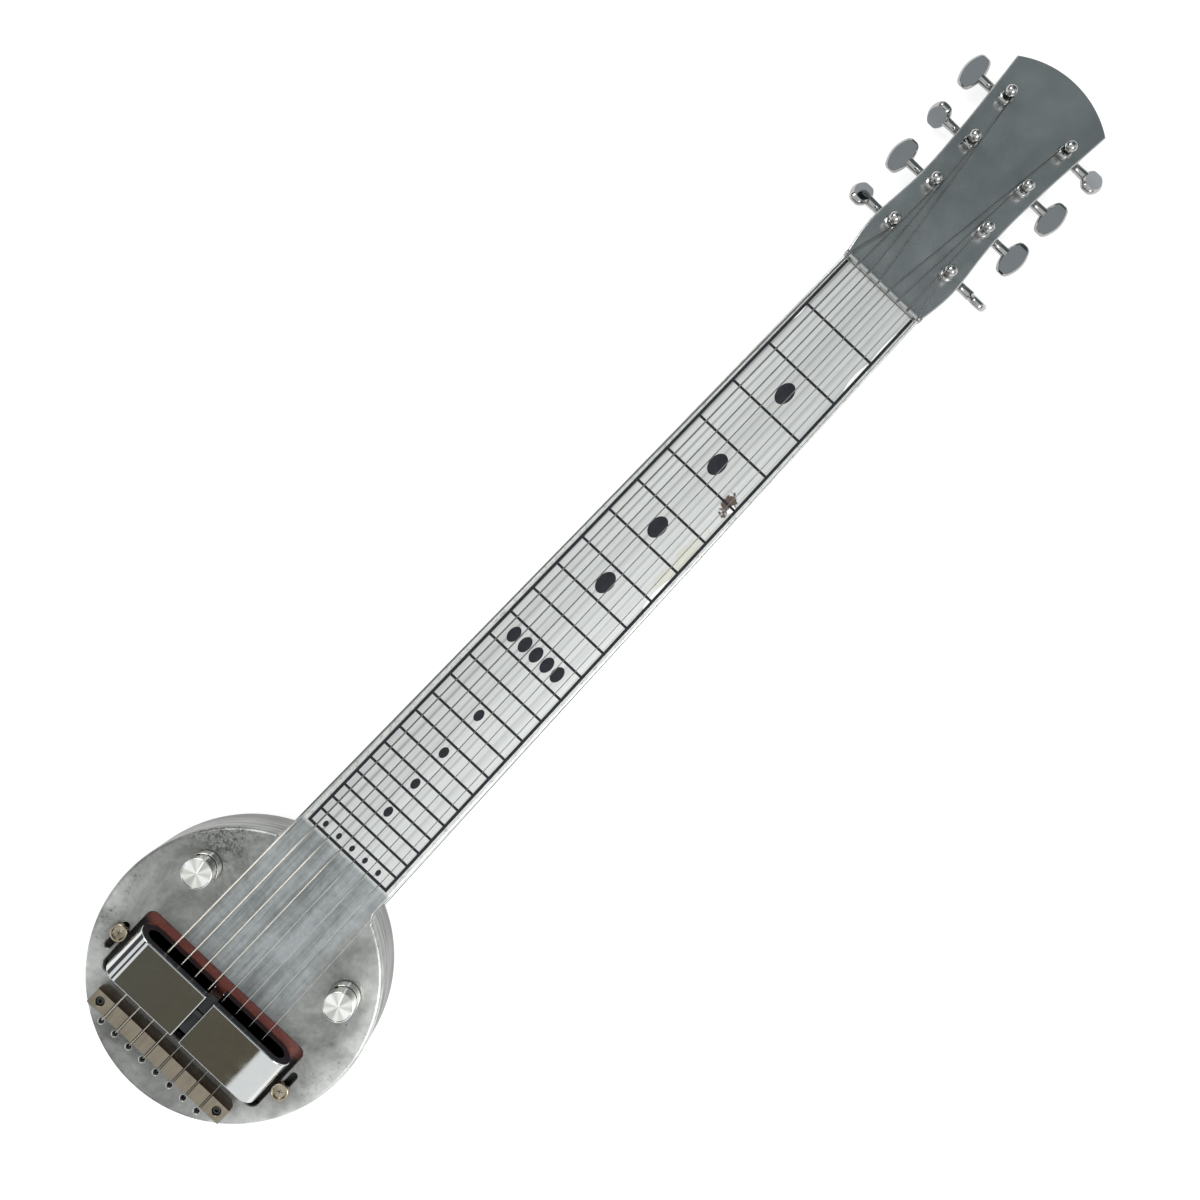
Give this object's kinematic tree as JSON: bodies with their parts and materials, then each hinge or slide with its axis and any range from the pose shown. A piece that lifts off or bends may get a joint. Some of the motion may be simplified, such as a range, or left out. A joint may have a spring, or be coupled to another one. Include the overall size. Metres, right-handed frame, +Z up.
{
  "type": "lap steel guitar",
  "caption": "Cast aluminium lap steel guitar with a round hollow body, long square-edged neck, horseshoe magnet pickup, turning knobs and geared tuning machines.",
  "frame": {"origin": "under the middle of the bounding box, on the surface that the flat back of the body lies on", "axes": "+Z up from the back towards the strings, +Y along the neck towards the headstock, +X to the treble side"},
  "size_m": [0.1658, 0.77, 0.0575],
  "materials": {
    "cast_aluminium": "satin",
    "board_plate": "gloss",
    "chrome": "polished",
    "steel": "satin",
    "aged_nickel": "aged",
    "bronze_wire": "wound",
    "copper_wire": "varnished",
    "red_fibre": "matte",
    "black_plastic": "satin"
  },
  "bodies": {
    "guitar": {"body_casting": "cast_aluminium", "back_cover": "cast_aluminium", "fretboard": "board_plate", "nut": "steel", "bridge": "aged_nickel", "tone_capacitor": "black_plastic", "output_jack": "steel", "volume_pot": "steel", "tone_pot": "steel", "back_cover_screw_1": "steel", "back_cover_screw_2": "steel", "back_cover_screw_3": "steel", "back_cover_screw_4": "steel", "bridge_screw_bass": "steel", "bridge_screw_treble": "steel", "tuner_bracket_bass_1": "steel", "tuner_bracket_bass_2": "steel", "tuner_bracket_bass_3": "steel", "tuner_bracket_bass_4": "steel", "tuner_bracket_treble_1": "steel", "tuner_bracket_treble_2": "steel", "tuner_bracket_treble_3": "steel", "tuner_bracket_treble_4": "steel", "string_1": "bronze_wire", "string_2": "bronze_wire", "string_3": "bronze_wire", "string_4": "bronze_wire", "string_5": "steel", "string_6": "steel", "string_7": "steel", "string_8": "steel"},
    "pickup": {"pickup_baseplate": "red_fibre", "pickup_bobbin": "black_plastic", "pickup_coil": "copper_wire", "pickup_pole_bar": "steel", "magnet_bass": "chrome", "magnet_treble": "chrome", "pickup_screw_bass": "aged_nickel", "pickup_screw_treble": "aged_nickel"},
    "volume_knob": {"volume_knob": "chrome"},
    "tone_knob": {"tone_knob": "chrome"},
    "tuner_button_bass_1": {"tuner_button_bass_1": "chrome"},
    "tuner_post_bass_1": {"tuner_post_bass_1": "chrome"},
    "tuner_button_bass_2": {"tuner_button_bass_2": "chrome"},
    "tuner_post_bass_2": {"tuner_post_bass_2": "chrome"},
    "tuner_button_bass_3": {"tuner_button_bass_3": "chrome"},
    "tuner_post_bass_3": {"tuner_post_bass_3": "chrome"},
    "tuner_button_bass_4": {"tuner_button_bass_4": "chrome"},
    "tuner_post_bass_4": {"tuner_post_bass_4": "chrome"},
    "tuner_button_treble_1": {"tuner_button_treble_1": "chrome"},
    "tuner_post_treble_1": {"tuner_post_treble_1": "chrome"},
    "tuner_button_treble_2": {"tuner_button_treble_2": "chrome"},
    "tuner_post_treble_2": {"tuner_post_treble_2": "chrome"},
    "tuner_button_treble_3": {"tuner_button_treble_3": "chrome"},
    "tuner_post_treble_3": {"tuner_post_treble_3": "chrome"},
    "tuner_button_treble_4": {"tuner_button_treble_4": "chrome"},
    "tuner_post_treble_4": {"tuner_post_treble_4": "chrome"}
  },
  "joints": [
    {"name": "pickup_slide", "type": "slide", "parent": "guitar", "child": "pickup", "axis": [0, 1, 0], "range_m": [-0.004, 0.004]},
    {"name": "volume_turn", "type": "hinge", "parent": "guitar", "child": "volume_knob", "pos_m": [-0.05291, -0.2678, 0.05], "axis": [0, 0, 1], "range_deg": [-150, 150]},
    {"name": "tone_turn", "type": "hinge", "parent": "guitar", "child": "tone_knob", "pos_m": [0.05291, -0.2678, 0.05], "axis": [0, 0, 1], "range_deg": [-150, 150]},
    {"name": "button_turn_bass_1", "type": "hinge", "parent": "guitar", "child": "tuner_button_bass_1", "pos_m": [-0.0212, 0.25948, 0.01942], "axis": [-1, 0, 0], "continuous": true},
    {"name": "post_turn_bass_1", "type": "hinge", "parent": "guitar", "child": "tuner_post_bass_1", "pos_m": [-0.0212, 0.25362, 0.03887], "axis": [0, 0.0698, 0.9976], "continuous": true},
    {"name": "button_turn_bass_2", "type": "hinge", "parent": "guitar", "child": "tuner_button_bass_2", "pos_m": [-0.0196, 0.292, 0.01714], "axis": [-1, 0, 0], "continuous": true},
    {"name": "post_turn_bass_2", "type": "hinge", "parent": "guitar", "child": "tuner_post_bass_2", "pos_m": [-0.0196, 0.28614, 0.0366], "axis": [0, 0.0698, 0.9976], "continuous": true},
    {"name": "button_turn_bass_3", "type": "hinge", "parent": "guitar", "child": "tuner_button_bass_3", "pos_m": [-0.0201, 0.32452, 0.01487], "axis": [-1, 0, 0], "continuous": true},
    {"name": "post_turn_bass_3", "type": "hinge", "parent": "guitar", "child": "tuner_post_bass_3", "pos_m": [-0.0201, 0.31866, 0.03432], "axis": [0, 0.0698, 0.9976], "continuous": true},
    {"name": "button_turn_bass_4", "type": "hinge", "parent": "guitar", "child": "tuner_button_bass_4", "pos_m": [-0.0226, 0.35704, 0.01259], "axis": [-1, 0, 0], "continuous": true},
    {"name": "post_turn_bass_4", "type": "hinge", "parent": "guitar", "child": "tuner_post_bass_4", "pos_m": [-0.0226, 0.35119, 0.03205], "axis": [0, 0.0698, 0.9976], "continuous": true},
    {"name": "button_turn_treble_1", "type": "hinge", "parent": "guitar", "child": "tuner_button_treble_1", "pos_m": [0.0212, 0.25948, 0.01942], "axis": [1, 0, 0], "continuous": true},
    {"name": "post_turn_treble_1", "type": "hinge", "parent": "guitar", "child": "tuner_post_treble_1", "pos_m": [0.0212, 0.25362, 0.03887], "axis": [0, 0.0698, 0.9976], "continuous": true},
    {"name": "button_turn_treble_2", "type": "hinge", "parent": "guitar", "child": "tuner_button_treble_2", "pos_m": [0.0196, 0.292, 0.01714], "axis": [1, 0, 0], "continuous": true},
    {"name": "post_turn_treble_2", "type": "hinge", "parent": "guitar", "child": "tuner_post_treble_2", "pos_m": [0.0196, 0.28614, 0.0366], "axis": [0, 0.0698, 0.9976], "continuous": true},
    {"name": "button_turn_treble_3", "type": "hinge", "parent": "guitar", "child": "tuner_button_treble_3", "pos_m": [0.0201, 0.32452, 0.01487], "axis": [1, 0, 0], "continuous": true},
    {"name": "post_turn_treble_3", "type": "hinge", "parent": "guitar", "child": "tuner_post_treble_3", "pos_m": [0.0201, 0.31866, 0.03432], "axis": [0, 0.0698, 0.9976], "continuous": true},
    {"name": "button_turn_treble_4", "type": "hinge", "parent": "guitar", "child": "tuner_button_treble_4", "pos_m": [0.0226, 0.35704, 0.01259], "axis": [1, 0, 0], "continuous": true},
    {"name": "post_turn_treble_4", "type": "hinge", "parent": "guitar", "child": "tuner_post_treble_4", "pos_m": [0.0226, 0.35119, 0.03205], "axis": [0, 0.0698, 0.9976], "continuous": true}
  ],
  "couplings": [
    {"joint": "post_turn_bass_1", "follows": "button_turn_bass_1", "ratio": 0.083333},
    {"joint": "post_turn_bass_2", "follows": "button_turn_bass_2", "ratio": 0.083333},
    {"joint": "post_turn_bass_3", "follows": "button_turn_bass_3", "ratio": 0.083333},
    {"joint": "post_turn_bass_4", "follows": "button_turn_bass_4", "ratio": 0.083333},
    {"joint": "post_turn_treble_1", "follows": "button_turn_treble_1", "ratio": 0.083333},
    {"joint": "post_turn_treble_2", "follows": "button_turn_treble_2", "ratio": 0.083333},
    {"joint": "post_turn_treble_3", "follows": "button_turn_treble_3", "ratio": 0.083333},
    {"joint": "post_turn_treble_4", "follows": "button_turn_treble_4", "ratio": 0.083333}
  ]
}
